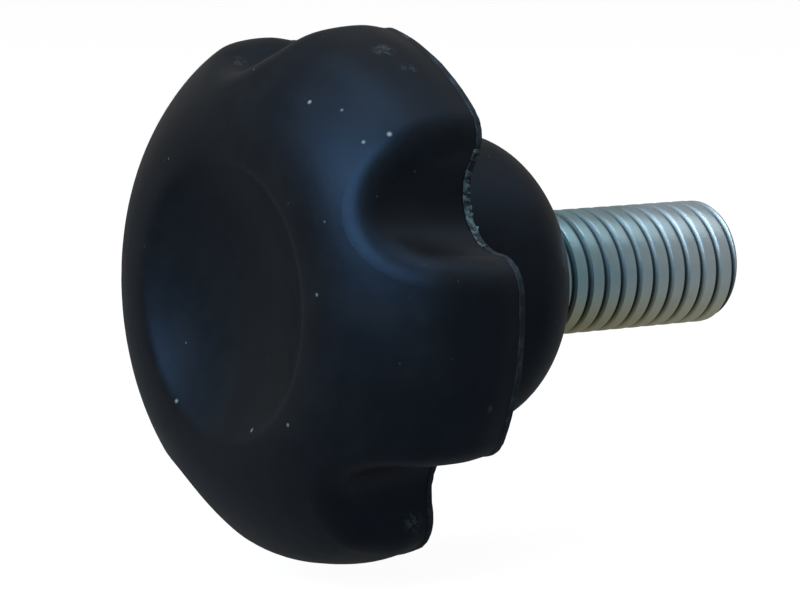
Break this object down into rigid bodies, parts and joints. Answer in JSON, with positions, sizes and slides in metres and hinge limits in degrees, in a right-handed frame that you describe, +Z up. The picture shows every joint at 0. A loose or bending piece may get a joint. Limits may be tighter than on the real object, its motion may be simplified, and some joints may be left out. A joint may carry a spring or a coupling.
{
  "type": "handwheel",
  "caption": "Lobed clamping handwheel in black moulded plastic, with a dished domed face, finger flutes, a rounded hub and a zinc-plated threaded stud.",
  "frame": {"origin": "centre of the flat seat face of the hub, where the stud comes out of it", "axes": "the stud points along +Y, the dished face looks along -Y, +Z is up, and the wheel turns about Y"},
  "size_m": [0.0398, 0.0455, 0.0396],
  "materials": {
    "black_plastic": "matte",
    "zinc_steel": "satin"
  },
  "bodies": {
    "root": {"wheel_body": "black_plastic", "threaded_stud": "zinc_steel"}
  },
  "joints": []
}
